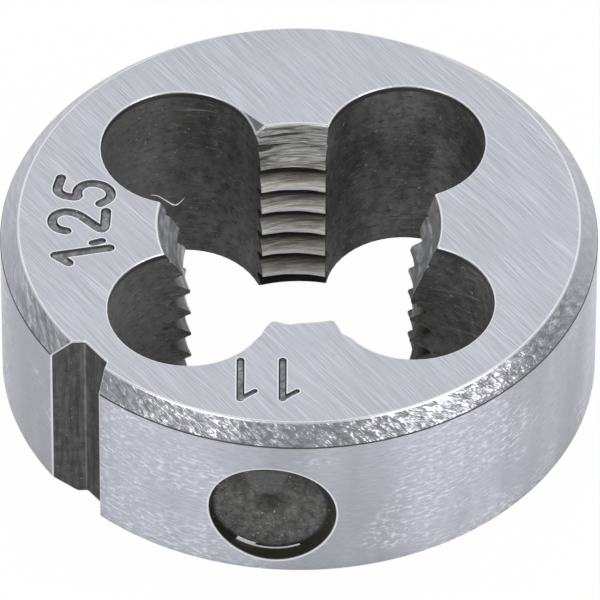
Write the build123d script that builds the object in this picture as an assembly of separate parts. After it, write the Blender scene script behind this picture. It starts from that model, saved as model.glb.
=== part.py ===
from build123d import *
import math
import os

# Round threading die, one solid: a ground steel disc with a threaded bore, four chip holes,
# a V notch and a screw seat in the rim.
# Millimetres, +Z up along the thread axis, origin at the centre of the plain bottom face.
# Azimuths are in degrees from +X towards +Y.

# blank
OUTSIDE_D = 25.0
THICKNESS = 9.0
MARKED_FACE_CHAMFER = 0.775
PLAIN_FACE_CHAMFER = 1.03

# thread
THREAD_D = 11.0
PITCH = 1.25
FLANK_ANGLE = 60.0
CREST_Z_AT_BACK = -0.02
BACK_LAND_AZ = 90.0
GROOVE_END_GAP_AZ = 10.0

# ways into the thread: the ground lead-in, the worn crests below it, the mouth on the plain face
LEAD_IN_D = 11.87
LEAD_IN_HALF_ANGLE = 18.5
WORN_LENGTH = 2.6
WORN_HALF_ANGLE = 3.5
PLAIN_MOUTH_D = 11.14
PLAIN_MOUTH_HALF_ANGLE = 45.0

# chip holes, each where the drill left it
RIM_WALL = 2.46
HOLE_REACH_INSIDE_THREAD = 2.16
BACK_RIGHT_HOLE_AZ = 47.4
BACK_LEFT_HOLE_AZ = 138.2
FRONT_LEFT_HOLE_AZ = 228.0
FRONT_RIGHT_HOLE_AZ = 315.5
BACK_RIGHT_HOLE_STRAY = -0.09
FRONT_LEFT_HOLE_STRAY = 0.17
HOLE_AZIMUTHS = (BACK_RIGHT_HOLE_AZ, BACK_LEFT_HOLE_AZ, FRONT_LEFT_HOLE_AZ, FRONT_RIGHT_HOLE_AZ)

# notch for the pinch screw
NOTCH_AZ = 222.4
NOTCH_DEPTH = 1.15
NOTCH_FLOOR_W = 1.49
NOTCH_ANGLE = 71.0
NOTCH_LEAN = 4.5

# seat for the locking screw
SEAT_AZ = 265.0
SEAT_Z = 4.25
SEAT_D = 5.3
SEAT_WALL_DEPTH = 0.68
SEAT_CONE_DEPTH = 0.37

# corner knocked off the back land, beside the back-left chip hole
KNOCK_FACES_AZ = 235.0
KNOCK_STEEPNESS = 54.0
KNOCK_BITE = 0.23

OVERCUT = 1.0
GROOVE_OVERCUT = 0.125

OUTSIDE_R = OUTSIDE_D / 2
THREAD_R = THREAD_D / 2
LEAD_IN_R = LEAD_IN_D / 2
PLAIN_MOUTH_R = PLAIN_MOUTH_D / 2
CHIP_HOLE_R = (OUTSIDE_R - RIM_WALL - THREAD_R + HOLE_REACH_INSIDE_THREAD) / 2
CHIP_HOLE_PITCH_R = OUTSIDE_R - RIM_WALL - CHIP_HOLE_R
SHARP_V_HEIGHT = PITCH / 2 / math.tan(math.radians(FLANK_ANGLE / 2))
MINOR_R = THREAD_R - SHARP_V_HEIGHT * 5 / 8
ROOT_FLAT = PITCH / 8


def along(azimuth, radius):
    """Plan position at an azimuth and a radius."""
    turn = math.radians(azimuth)
    return radius * math.cos(turn), radius * math.sin(turn)


def section(points):
    """Face in the XZ plane through the given (radius, height) corners."""
    outline = Polyline([(radius, 0, height) for radius, height in points], close=True)
    return make_face(outline)


def turned(corners):
    """Solid of revolution about Z, with its seam kept clear of the lands."""
    return Rot(0, 0, BACK_RIGHT_HOLE_AZ) * revolve(section(corners), Axis.Z)


def blank():
    """Turned and ground disc with its two rim chamfers."""
    corners = [
        (0, 0),
        (OUTSIDE_R - PLAIN_FACE_CHAMFER, 0),
        (OUTSIDE_R, PLAIN_FACE_CHAMFER),
        (OUTSIDE_R, THICKNESS - MARKED_FACE_CHAMFER),
        (OUTSIDE_R - MARKED_FACE_CHAMFER, THICKNESS),
        (0, THICKNESS),
    ]
    return turned(corners)


def bore_cutter():
    """Minor-diameter bore, widened by wear and the lead-in above and by a short mouth below."""
    lead_slope = math.tan(math.radians(LEAD_IN_HALF_ANGLE))
    mouth_slope = math.tan(math.radians(PLAIN_MOUTH_HALF_ANGLE))
    worn_r = MINOR_R + WORN_LENGTH * math.tan(math.radians(WORN_HALF_ANGLE))
    lead_foot = THICKNESS - (LEAD_IN_R - worn_r) / lead_slope
    mouth_top = (PLAIN_MOUTH_R - MINOR_R) / mouth_slope
    corners = [
        (0, -OVERCUT),
        (PLAIN_MOUTH_R + OVERCUT * mouth_slope, -OVERCUT),
        (MINOR_R, mouth_top),
        (MINOR_R, lead_foot - WORN_LENGTH),
        (worn_r, lead_foot),
        (LEAD_IN_R + OVERCUT * lead_slope, THICKNESS + OVERCUT),
        (0, THICKNESS + OVERCUT),
    ]
    return turned(corners)


def groove_half_width(radius):
    """Half the axial width of the thread groove at a radius."""
    return ROOT_FLAT / 2 + (THREAD_R - radius) * math.tan(math.radians(FLANK_ANGLE / 2))


def helix_rail(radius, rise, span):
    """Edge that climbs along the thread from azimuth 0 through a span of degrees."""
    rail = Pos(0, 0, rise) * Helix(pitch=PITCH, height=PITCH * span / 360, radius=radius)
    return rail.edges()[0]


def groove_arc(span):
    """One length of thread groove: two flanks, the root, an inner face and two end caps."""
    inner_r = MINOR_R - GROOVE_OVERCUT
    inner_half = groove_half_width(inner_r)
    rails = [
        helix_rail(inner_r, -inner_half, span),
        helix_rail(THREAD_R, -ROOT_FLAT / 2, span),
        helix_rail(THREAD_R, ROOT_FLAT / 2, span),
        helix_rail(inner_r, inner_half, span),
    ]
    faces = []
    for index, rail in enumerate(rails):
        following = rails[(index + 1) % len(rails)]
        faces.append(Face.make_surface_from_curves(rail, following))
    for end in (0, 1):
        cap = make_face(Polyline([rail @ end for rail in rails], close=True))
        faces.append(cap.faces()[0])
    return Solid(Shell(faces))


def groove_root_z(azimuth, turn):
    """Height of the groove's centre, carried on from land to land round the helix."""
    crest_z = CREST_Z_AT_BACK + PITCH * (azimuth - BACK_LAND_AZ) / 360
    return crest_z + PITCH / 2 + PITCH * turn


def thread_grooves():
    """Right-hand thread grooves on the four lands, each ending inside the chip holes beside it."""
    lowest_turn = -math.ceil((CREST_Z_AT_BACK + 2 * PITCH) / PITCH)
    highest_turn = math.ceil((THICKNESS + PITCH) / PITCH)
    grooves = []
    for index, hole_az in enumerate(HOLE_AZIMUTHS):
        next_hole_az = HOLE_AZIMUTHS[(index + 1) % len(HOLE_AZIMUTHS)]
        start_az = hole_az + GROOVE_END_GAP_AZ
        arc = groove_arc((next_hole_az - hole_az) % 360 - 2 * GROOVE_END_GAP_AZ)
        for turn in range(lowest_turn, highest_turn + 1):
            height = groove_root_z(start_az, turn)
            grooves.append(Pos(0, 0, height) * Rot(0, 0, start_az) * arc)
    return grooves


def chip_hole(azimuth, stray=0.0):
    """Drilled hole beside the bore that gives the chips a way out."""
    x, y = along(azimuth, CHIP_HOLE_PITCH_R + stray)
    drill = Cylinder(CHIP_HOLE_R, THICKNESS + 2 * OVERCUT)
    return Pos(x, y, THICKNESS / 2) * drill


def notch_cutter():
    """Full-height V notch with a narrow floor, for the stock's pinch screw."""
    flare = math.tan(math.radians(NOTCH_ANGLE / 2))
    reach = NOTCH_DEPTH + 2 * OVERCUT
    half_floor = NOTCH_FLOOR_W / 2
    half_mouth = half_floor + reach * flare
    corners = [
        (reach, -half_mouth),
        (0, -half_floor),
        (0, half_floor),
        (reach, half_mouth),
    ]
    prism = extrude(make_face(Polyline(corners, close=True)), THICKNESS + 2 * OVERCUT)
    floor = Pos(OUTSIDE_R - NOTCH_DEPTH, 0, -OVERCUT)
    return Rot(0, 0, NOTCH_AZ) * floor * Rot(0, 0, -NOTCH_LEAN) * prism


def seat_cutter():
    """Blind seat for the locking screw: a short wall and a shallow drill point."""
    wall_foot = OUTSIDE_R - SEAT_WALL_DEPTH
    cone_foot = wall_foot - SEAT_CONE_DEPTH
    seat_r = SEAT_D / 2
    corners = [
        (0, cone_foot),
        (seat_r, wall_foot),
        (seat_r, OUTSIDE_R + OVERCUT),
        (0, OUTSIDE_R + OVERCUT),
    ]
    drill = revolve(section(corners), Axis.Z)
    return Rot(0, 0, SEAT_AZ) * Pos(0, 0, SEAT_Z) * Rot(0, 90, 0) * drill


def knock_cutter():
    """Block whose lower face is the flat left where the land's corner was knocked off."""
    reach = LEAD_IN_R ** 2 + CHIP_HOLE_PITCH_R ** 2 - CHIP_HOLE_R ** 2
    half_angle = math.degrees(math.acos(reach / (2 * LEAD_IN_R * CHIP_HOLE_PITCH_R)))
    x, y = along(BACK_LEFT_HOLE_AZ - half_angle, LEAD_IN_R)
    block = Pos(0, 0, OVERCUT - KNOCK_BITE) * Box(2 * OVERCUT, 2 * OVERCUT, 2 * OVERCUT)
    return Pos(x, y, THICKNESS) * Rot(0, 0, KNOCK_FACES_AZ) * Rot(0, KNOCK_STEEPNESS, 0) * block


def body():
    """The finished die."""
    die = blank() - bore_cutter()
    die = die - chip_hole(BACK_RIGHT_HOLE_AZ, BACK_RIGHT_HOLE_STRAY)
    die = die - chip_hole(BACK_LEFT_HOLE_AZ)
    die = die - chip_hole(FRONT_LEFT_HOLE_AZ, FRONT_LEFT_HOLE_STRAY)
    die = die - chip_hole(FRONT_RIGHT_HOLE_AZ)
    die = die - thread_grooves()
    die = die - notch_cutter()
    die = die - seat_cutter()
    die = die - knock_cutter()
    return die


os.makedirs("parts", exist_ok=True)
die_body = body()
export_step(die_body, "parts/die_body.step")
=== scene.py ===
"""Looks of the round threading die: the finished steel body, its floor, its light and the camera."""

import bmesh
import bpy
import math
import numpy as np
from functools import partialmethod
from mathutils import Matrix, Vector
from mathutils.geometry import delaunay_2d_cdt


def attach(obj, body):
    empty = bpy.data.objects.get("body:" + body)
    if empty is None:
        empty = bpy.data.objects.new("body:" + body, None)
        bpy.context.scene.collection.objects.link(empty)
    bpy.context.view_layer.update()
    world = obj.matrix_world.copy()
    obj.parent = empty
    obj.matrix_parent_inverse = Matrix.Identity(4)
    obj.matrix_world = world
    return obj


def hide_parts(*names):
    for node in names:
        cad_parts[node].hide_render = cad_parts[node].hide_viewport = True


MM = 0.001

# the blank, in millimetres
OUTSIDE_R = 12.5
THICKNESS = 9.0
MARKED_CHAMFER = 0.775
PLAIN_CHAMFER = 1.03

# the thread
THREAD_R = 5.5
PITCH = 1.25
MINOR_R = THREAD_R - PITCH / 2 / math.tan(math.radians(30)) * 5 / 8
CREST_Z_AT_BACK = -0.02
BACK_LAND_AZ = 90.0
CREST_HALF = 0.07
ROOT_HALF = 0.065
FLANK_SLOPE = 1 / math.tan(math.radians(30))
LEAD_IN_R = 5.935
LEAD_IN_SLOPE = math.tan(math.radians(30))
RIGHT_LEAD_IN_SLOPE = math.tan(math.radians(18.5))
WORN_LENGTH = 1.4
WORN_SLOPE = math.tan(math.radians(2))
MOUTH_R = 5.57

# the tears: the radius they are drawn at, the step the lead-in's tool left, and where torn metal fills
# the right land's grooves, as azimuths and heights between which it comes in
TEAR_R = 5.2
TEAR_Z = (4.9, 6.4)
FEED_LINE = 0.07
TORN_AZ = (-10.0, 2.0)
TORN_Z = (4.9, 5.7)
TORN_FILL = 0.85
LAND_HALF = 45

# the chip holes: azimuth and distance of each centre at the top, and how far the back-left drill
# drifted on its way down
HOLE_R = 3.35
HOLES = ((47.4, 6.60), (138.2, 6.69), (228.0, 6.86), (315.5, 6.69))
DRIFTED_HOLE = 1
DRILL_DRIFT = (0.14, -0.40)

# the notch
NOTCH_AZ = 222.4
NOTCH_LEAN = 4.5
NOTCH_DEPTH = 1.15
NOTCH_FLOOR_HALF = 0.745
NOTCH_HALF_ANGLE = 35.5
NOTCH_FOOT_WEAR = 0.3

# the screw seat
SEAT_AZ = 265.0
SEAT_Z = 4.25
SEAT_R = 2.65
SEAT_WALL_DEPTH = 0.60
SEAT_CONE_DEPTH = 0.45
SEAT_FOOT_R = 2.5
SEAT_FOOT_SHIFT = 0.12
SEAT_FOOT_DROP = 0.1
SEAT_LIP = 0.09
SEAT_LIP_DEPTH = 0.05
# where the painted glint on the seat's foot starts, where its thick part ends, and where it ends
GLINT_FROM, GLINT_THIN, GLINT_TO = 234.0, 252.0, 300.0

# the knocked corner of the back land
KNOCK_AZ = 226.0
KNOCK_STEEPNESS = 48.0
KNOCK_BITE = 0.28
KNOCK_REACH = 1.2

# the front land's worn corners: place, the way each faces and how much is gone; a dent between them
FRONT_CORNERS = (((-1.33, -5.87), 135.0, 0.17), ((1.51, -5.81), 45.0, 0.07))
FRONT_DENT_X = -0.4
FRONT_DENT = 0.1

# the curl of metal on the edge of the back-left chip hole
CURL_PATH = ((-6.22, 1.65, 8.93), (-5.95, 1.61, 8.94), (-5.58, 1.31, 8.95), (-5.21, 1.06, 8.93),
             (-4.98, 1.25, 8.91), (-4.81, 1.55, 8.87))
CURL_R = 0.03
CURL_STEPS = 24
CURL_SIDES = 6

# the finishes: painted reflection bands round the rim and where one is brightest, the angles of the two sets
# of grinding scratches, the tilt of the scratches in the holes, where the chamfer turns smooth, and the angle
# from which an edge is shaded sharp
RIM_HIGHLIGHT_BANDS = 6
RIM_HIGHLIGHT_AZ = 302.0
SCRATCH_ANGLES = (56, 49)
SCRATCH_TILT = 24
SMOOTH_CHAMFER_Y = (-5.4, -2.2)
SHARP_ANGLE = 38

# the stage: the camera in degrees and millimetres, the floor in metres, the soft lights
CAMERA_ELEVATION = 44.852
CAMERA_DISTANCE = 550.0
CAMERA_LENS = 785.4
CAMERA_ROLL = 0.182
AIM_RIGHT = 0.0487
AIM_DOWN = 0.0620
FLOOR_HALF = 3.0
FLOOR_GAP = 0.01
FLOOR_WHITE_SEEN = 0.98
FLOOR_WHITE_MIRRORED = 0.35
WORLD_NEAR = (0.45, 0.45, 0.46)
WORLD_FAR = (1.0, 1.0, 1.0)
SOFTBOX_ELEVATION = 34
SOFTBOX_DISTANCE = 160

# how finely the skin is cut
EDGE = 0.07
CORNER = 0.05
ROW_STEP = 0.045
CORNER_GUESS_AZ = 28.0
CORNER_ROUNDS = 8
HOLE_COLS = 36
LAND_COLS = 30
RIM_COLS = 288
FLANK_COLS = 6
FLOOR_COLS = 4
SEAT_COLS = 72
SEAT_WALL_STEPS = 8
CONE_SHARES = (0.97, 0.93, 0.85, 0.7, 0.55, 0.4, 0.25, 0.12, 0.04)
SEAT_PATCH_HALF = 15.0
SEAT_PATCH_FOOT = 1.1
PATCH_STEP_AZ = 1.25
PATCH_STEP_Z = 0.45
TOP_DROPS = (0, 0.02, 0.045, 0.07, 0.15, 0.3, 0.5, 0.65, 0.745, 0.81)
FOOT_HEIGHTS = (1.07, 0.99, 0.8, 0.6, 0.4, 0.28, 0.19, 0.12, 0.07, 0.035, 0.015, 0)
FACE_INSET = 0.03
BRIGHT_TOP = 0.05
DARK_NOTCH_TOP = 0.12

(GROUND, CHAMFER, RIM, SCALE, THREAD, BRIGHT, NOTCH, SEAT, STAMP, PLAIN, TORN, SEAT_WALL, SEAT_GLINT, DARK,
 FOOT, STAMP_WALL) = range(16)


# ---------------- small helpers
def polar(azimuth, radius):
    """Plan points at azimuths in degrees and radii."""
    turn = np.radians(azimuth)
    return np.stack([radius * np.cos(turn), radius * np.sin(turn)], -1)


def at_height(plan, z):
    """Plan points lifted to a height."""
    return np.column_stack([plan, np.full(len(plan), z)])


def lattice(u, v, seed):
    """Smooth random values from 0 to 1 over a plane."""
    table = np.random.default_rng(seed).random((64, 64))
    iu, iv = np.floor(u).astype(int), np.floor(v).astype(int)
    fu, fv = ramp(u - iu, 0, 1), ramp(v - iv, 0, 1)
    a, b, c, d = (table[(iu + i) % 64, (iv + j) % 64] for j in (0, 1) for i in (0, 1))
    return (a * (1 - fu) + b * fu) * (1 - fv) + (c * (1 - fu) + d * fu) * fv


def ramp(value, low, high):
    """0 below low, 1 above high, smooth between."""
    share = np.clip((value - low) / (high - low), 0, 1)
    return share * share * (3 - 2 * share)


def inside(points, loop):
    """Which plan points lie inside a closed loop."""
    x, y = points.T[:, :, None]
    x0, y0 = loop.T[:, None]
    x1, y1 = np.roll(loop, -1, 0).T[:, None]
    crosses = (y0 > y) != (y1 > y)
    with np.errstate(divide="ignore", invalid="ignore"):
        at = x0 + (y - y0) * (x1 - x0) / (y1 - y0)
    return (crosses & (x < at)).sum(1) % 2 == 1


class Skin:
    """Points, faces and finishes of the piece while it is put together."""

    def __init__(self):
        self.points, self.faces, self.finishes, self.count = [], [], [], 0

    def add_points(self, points):
        first = self.count
        self.points.append(np.asarray(points, float).reshape(-1, 3))
        self.count += len(self.points[-1])
        return first

    def add_faces(self, faces, finish):
        self.faces.extend(faces)
        self.finishes.extend([finish] * len(faces))

    def add(self, points, faces, finish):
        """Points and the faces between them, as an array of their indices."""
        self.add_faces((faces + self.add_points(points)).tolist(), finish)

    def grid(self, points, finish_of, skip=None):
        """Quads over closed rows of points; finish_of(row, column) names each one's finish."""
        rows, cols = points.shape[:2]
        first = self.add_points(points)
        for row in range(rows - 1):
            for col in range(cols):
                if skip and skip(row, col):
                    continue
                after = (col + 1) % cols
                a, b = first + row * cols + col, first + row * cols + after
                self.add_faces([(a, b, b + cols, a + cols)], finish_of(row, col))

    def mesh(self, name):
        data = bpy.data.meshes.new(name)
        data.from_pydata((np.concatenate(self.points) * MM).tolist(), [], self.faces)
        data.polygons.foreach_set("material_index", self.finishes)
        work = bmesh.new()
        work.from_mesh(data)
        bmesh.ops.delete(work, geom=[v for v in work.verts if not v.link_faces], context="VERTS")
        bmesh.ops.remove_doubles(work, verts=work.verts, dist=1e-7)
        bmesh.ops.dissolve_degenerate(work, edges=work.edges, dist=1e-8)
        bmesh.ops.recalc_face_normals(work, faces=work.faces)
        work.to_mesh(data)
        work.free()
        data.update()
        return data


def triangles(points, loops):
    """Constrained triangles over plan points; loops are closed runs of their indices."""
    edges = [edge for loop in loops for edge in zip(loop, loop[1:] + loop[:1])]
    made = delaunay_2d_cdt([Vector(p) for p in points], edges, [], 0, 1e-6)
    return np.array([tuple(p) for p in made[0]]), np.array([tuple(f) for f in made[2]])


# ---------------- the bore and the chip holes
def tear(azimuth, z):
    """How far torn metal stands back from the clean thread, in millimetres."""
    along = np.radians(azimuth) * TEAR_R
    up = z - PITCH * azimuth / 360
    upper = ramp(z, *TEAR_Z)
    streak = lattice(along / 2.2, up / 0.15, 3) - 0.5
    fine = lattice(along / 1.1, up / 0.06, 5) - 0.5
    ridge = ramp(lattice(along / 2.6, up / 0.2, 11), 0.66, 0.74)
    gouge = ramp(lattice(along / 0.8, up / 0.3, 7), 0.7, 0.9)
    upper = upper * (0.45 + 0.55 * ramp(-np.abs(np.mod(azimuth, 360) - BACK_LAND_AZ), -40, -25))
    return (0.012 + 0.05 * upper) * streak + (0.008 + 0.02 * upper) * fine + 0.05 * upper * (ridge + gouge)


def thread_r(azimuth, z):
    """Radius of the land's surface at an azimuth and a height."""
    turns = (z - CREST_Z_AT_BACK - PITCH * (azimuth - BACK_LAND_AZ) / 360) / PITCH
    from_crest = np.abs(turns - np.round(turns)) * PITCH
    reach = PITCH / 2 - ROOT_HALF - CREST_HALF
    signed = np.mod(azimuth + 180, 360) - 180  # runs from the middle of the right land
    filled = ramp(-signed, -TORN_AZ[1], -TORN_AZ[0]) * ramp(z, *TORN_Z) * (np.abs(signed) < LAND_HALF)
    profile = MINOR_R + np.clip(from_crest - CREST_HALF, 0, reach) * FLANK_SLOPE * (1 - TORN_FILL * filled)
    worn_r = MINOR_R + WORN_LENGTH * WORN_SLOPE
    slope = RIGHT_LEAD_IN_SLOPE + (LEAD_IN_SLOPE - RIGHT_LEAD_IN_SLOPE) * ramp(np.abs(signed), 30, 50)
    foot = THICKNESS - (LEAD_IN_R - worn_r) / slope
    lead = LEAD_IN_R - (THICKNESS - z) * slope
    worn = MINOR_R + (z - foot + WORN_LENGTH) * WORN_SLOPE
    mouth = MOUTH_R - z
    clean = np.maximum(np.maximum(profile, lead), np.maximum(worn, mouth))
    feed_line = FEED_LINE * ramp(from_crest, 0.5, 0.6) * ramp(z, 7.0, 7.6) * ramp(-z, -8.6, -8.3)
    quiet = ramp(z, 0.0, 0.3) * ramp(-z, -THICKNESS, -THICKNESS + 0.35)
    return clean + feed_line + tear(azimuth, z) * quiet


def quarter_rounds():
    """Heights of the inner rows, and how far each stands back into the metal."""
    turns = np.radians([0, 30, 60, 90])
    back = EDGE * (1 - np.sin(turns))
    drop = EDGE * (1 - np.cos(turns))
    middle = np.linspace(THICKNESS - EDGE, EDGE, int((THICKNESS - 2 * EDGE) / ROW_STEP))[1:-1]
    heights = np.concatenate([THICKNESS - drop, middle, drop[::-1]])
    offsets = np.concatenate([back, np.zeros(len(middle)), back[::-1]])
    return heights, offsets


def hole_axis(index, z):
    """Azimuth and distance of a chip hole's centre at each height."""
    centre = polar(*HOLES[index]) + np.zeros((len(z), 2))
    if index == DRIFTED_HOLE:
        centre = centre + (1 - z / THICKNESS)[:, None] * DRILL_DRIFT
    return np.degrees(np.arctan2(centre[:, 1], centre[:, 0])) % 360, np.hypot(centre[:, 0], centre[:, 1])


def land_corners(z, back):
    """Azimuths and radii at which each chip hole meets the lands before and after it."""
    hole_r = HOLE_R + back
    corners = []
    for index in range(len(HOLES)):
        azimuth, centre = hole_axis(index, z)
        pair = []
        for side in (-1, 1):
            at = azimuth + side * CORNER_GUESS_AZ
            for _ in range(CORNER_ROUNDS):
                radius = thread_r(at, z) + back
                cosine = (radius ** 2 + centre ** 2 - hole_r ** 2) / (2 * radius * centre)
                at = azimuth + side * np.degrees(np.arccos(np.clip(cosine, -1, 1)))
            pair.append((at, thread_r(at, z) + back))
        corners.append(pair)
    return corners


def hole_points(index, corners, z, back):
    """Points down a chip hole's wall, from the land before it to the land after it."""
    azimuth, centre = hole_axis(index, z)
    hole_r = HOLE_R + back
    ends = []
    for _, radius in corners[index]:
        cosine = (centre ** 2 + hole_r ** 2 - radius ** 2) / (2 * centre * hole_r)
        ends.append(180 - np.degrees(np.arccos(np.clip(cosine, -1, 1))))
    trim = math.degrees(CORNER / HOLE_R)
    share = np.linspace(0, 1, HOLE_COLS)[None]
    turn = (-ends[0] + trim)[:, None] * (1 - share) + (ends[1] - trim)[:, None] * share
    return polar(azimuth, centre)[:, None] + polar(azimuth[:, None] + turn, hole_r[:, None])


def land_points(index, corners, z, back):
    """Points over a land's teeth, from one chip hole to the next."""
    start, end = corners[index][1][0], corners[(index + 1) % len(HOLES)][0][0]
    end = np.where(end < start, end + 360, end)
    trim = math.degrees(CORNER / MINOR_R)
    share = np.linspace(0, 1, LAND_COLS)[None]
    at = (start + trim)[:, None] * (1 - share) + (end - trim)[:, None] * share
    return polar(at, thread_r(at, z[:, None]) + back[:, None])


def eased(corner, neighbours):
    """A corner drawn back towards the sum of its two neighbours, so that the edge there is rounded."""
    return corner * 0.5 + neighbours * 0.25


def inner_grid():
    """All points of the bore, the teeth and the chip holes, and each column's finish."""
    z, back = quarter_rounds()
    corners = land_corners(z, back)
    lands = [land_points(index, corners, z, back) for index in range(len(HOLES))]
    columns, finishes = [], []
    for index, pair in enumerate(corners):
        before, hole, after = lands[index - 1], hole_points(index, corners, z, back), lands[index]
        neighbours = before[:, -1] + hole[:, 0], hole[:, -1] + after[:, 0]
        start, end = (eased(polar(*corner), beside)[:, None] for corner, beside in zip(pair, neighbours))
        columns += [start, hole, end, after]
        # painted shade: a dark column where each chip hole meets a land
        finishes += [DARK] + [SCALE] * (HOLE_COLS - 1) + [DARK] + [THREAD] * (LAND_COLS + 1)
    plan = np.concatenate(columns, 1)
    points = np.concatenate([plan, np.broadcast_to(z[:, None, None], plan.shape[:2] + (1,))], 2)
    return points, finishes


def knock_plane():
    """A point on the flat of the knocked corner, and its normal."""
    azimuth, centre = HOLES[DRIFTED_HOLE]
    cosine = (LEAD_IN_R ** 2 + centre ** 2 - HOLE_R ** 2) / (2 * LEAD_IN_R * centre)
    at = azimuth - math.degrees(math.acos(cosine))
    lean, turn = math.radians(KNOCK_STEEPNESS), math.radians(KNOCK_AZ)
    normal = np.array([math.sin(lean) * math.cos(turn), math.sin(lean) * math.sin(turn), math.cos(lean)])
    corner = np.append(polar(at, LEAD_IN_R), THICKNESS)
    return corner - normal * KNOCK_BITE, normal


def knock_down(points):
    """Lowers the points that stand above the flat of the knocked corner."""
    origin, normal = knock_plane()
    near = np.hypot(points[..., 0] - origin[0], points[..., 1] - origin[1]) < KNOCK_REACH
    over = ((points - origin) @ normal > 0) & near & (points[..., 2] > THICKNESS - KNOCK_REACH)
    flat = origin[2] - ((points[..., :2] - origin[:2]) @ normal[:2]) / normal[2]
    points[..., 2] = np.where(over, np.minimum(points[..., 2], flat), points[..., 2])
    return points


def wear_front_land(points):
    """Rounds the front land's top corners and dents the edge between them."""
    upper = ramp(points[..., 2], THICKNESS - 0.9, THICKNESS - 0.2)
    for corner, faces, bite in FRONT_CORNERS:
        for turn, share in ((-22, 0.62), (0, 1.0), (22, 0.62)):
            facing = polar(faces + turn, 1.0)
            past = (points[..., :2] - corner) @ facing + bite * share
            near = np.hypot(*np.moveaxis(points[..., :2] - corner, -1, 0)) < 0.9
            points[..., :2] -= (np.where(near, np.maximum(past, 0), 0) * upper)[..., None] * facing
    near = np.exp(-((points[..., 0] - FRONT_DENT_X) / 0.3) ** 2) * (np.abs(points[..., 1] + LEAD_IN_R) < 0.4)
    points[..., 1] -= FRONT_DENT * near * upper
    return points


def inner_finish(finishes, rows):
    """Finish of each quad of the inner skin: bright round the top edge, rubbed and with a painted highlight,
    and painted shade under it and at the foot.
    """
    def pick(row, col):
        # rounded top edge: rubbed bright, with a painted highlight
        if row < 3:
            return BRIGHT
        # painted shade in the holes just under the top edge, and round the foot of the bore
        under_edge = row < 8 and finishes[col] == SCALE
        return DARK if under_edge or row >= rows - 4 else finishes[col]
    return pick


# ---------------- the rim, the notch and the screw seat
def notch_lines(back):
    """Plan corners of the notch's floor and its flank directions, set back into the metal."""
    lean = NOTCH_AZ - NOTCH_LEAN
    half = NOTCH_FLOOR_HALF + back * math.tan(math.radians((90 - NOTCH_HALF_ANGLE) / 2))
    along, across = polar(lean, 1.0), polar(lean + 90, 1.0)
    floor = polar(NOTCH_AZ, OUTSIDE_R - NOTCH_DEPTH) - along * back
    lines = []
    for side in (-1, 1):
        turn = math.radians(NOTCH_HALF_ANGLE)
        direction = along * math.cos(turn) + across * side * math.sin(turn)
        lines.append((floor + across * side * half, direction))
    return lines


def outer_rows():
    """Radius, height and notch set-back of each row, from the marked face down to the plain one."""
    rows = []
    for z in np.concatenate([THICKNESS - np.array(TOP_DROPS), np.linspace(7.5, 1.6, 12), FOOT_HEIGHTS]):
        top, low = THICKNESS - z, z
        radius = min(OUTSIDE_R, OUTSIDE_R - MARKED_CHAMFER + top, OUTSIDE_R - PLAIN_CHAMFER + low)
        if min(top, low) == 0:
            radius -= FACE_INSET
        back = EDGE - math.sqrt(max(0.0, 2 * EDGE * top - top ** 2)) if top < EDGE else 0.0
        if low < NOTCH_FOOT_WEAR:
            back = NOTCH_FOOT_WEAR - math.sqrt(2 * NOTCH_FOOT_WEAR * low - low ** 2)
        rows.append((radius, float(z), back))
    return rows


def outer_row(radius, z, back):
    """One closed row round the outside: the rim's arc, then the notch."""
    flanks, mouths, azimuths = [], [], []
    for start, way in notch_lines(back):
        half_b = start @ way
        reach = -half_b + math.sqrt(half_b ** 2 - (start @ start - radius ** 2))
        mouths.append(start + way * reach)
        azimuths.append(math.degrees(math.atan2(mouths[-1][1], mouths[-1][0])) % 360)
        steps = np.linspace(CORNER, reach, FLANK_COLS)
        steps[-1] -= CORNER
        flanks.append(start + np.outer(steps, way))
    (left, _), (right, _) = notch_lines(back)
    floor = left + np.outer(np.linspace(0.04, 0.96, FLOOR_COLS), right - left)
    trim = math.degrees(CORNER / OUTSIDE_R)
    arc = polar(np.linspace(azimuths[1] + trim, azimuths[0] + 360 - trim, RIM_COLS), radius)
    left_mid = eased(mouths[0], arc[-1] + flanks[0][-1])
    right_mid = eased(mouths[1], arc[0] + flanks[1][-1])
    plan = np.concatenate([arc, [left_mid], flanks[0][::-1], floor, flanks[1], [right_mid]])
    return at_height(plan, z)


def outer_finish(rows):
    """Finish of each quad of the outer skin."""
    rim_top, rim_low = THICKNESS - MARKED_CHAMFER, PLAIN_CHAMFER

    def pick(row, col):
        high, low = rows[row][1], rows[row + 1][1]
        # rounded top edge: rubbed bright, with a painted highlight
        if high > THICKNESS - BRIGHT_TOP:
            return BRIGHT
        # rounded corners between the rim and the notch: painted highlights
        if RIM_COLS - 1 <= col <= RIM_COLS or col >= RIM_COLS + 2 * FLANK_COLS + FLOOR_COLS:
            return BRIGHT if low > NOTCH_FOOT_WEAR else RIM
        if col > RIM_COLS:
            # painted shade just under the notch's top edge
            return DARK if high > THICKNESS - DARK_NOTCH_TOP else NOTCH
        # painted shade: a dark line where the chamfer meets the rim
        if low < rim_top < high:
            return DARK
        return CHAMFER if low > rim_top else FOOT if high < rim_low else RIM
    return pick


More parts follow.
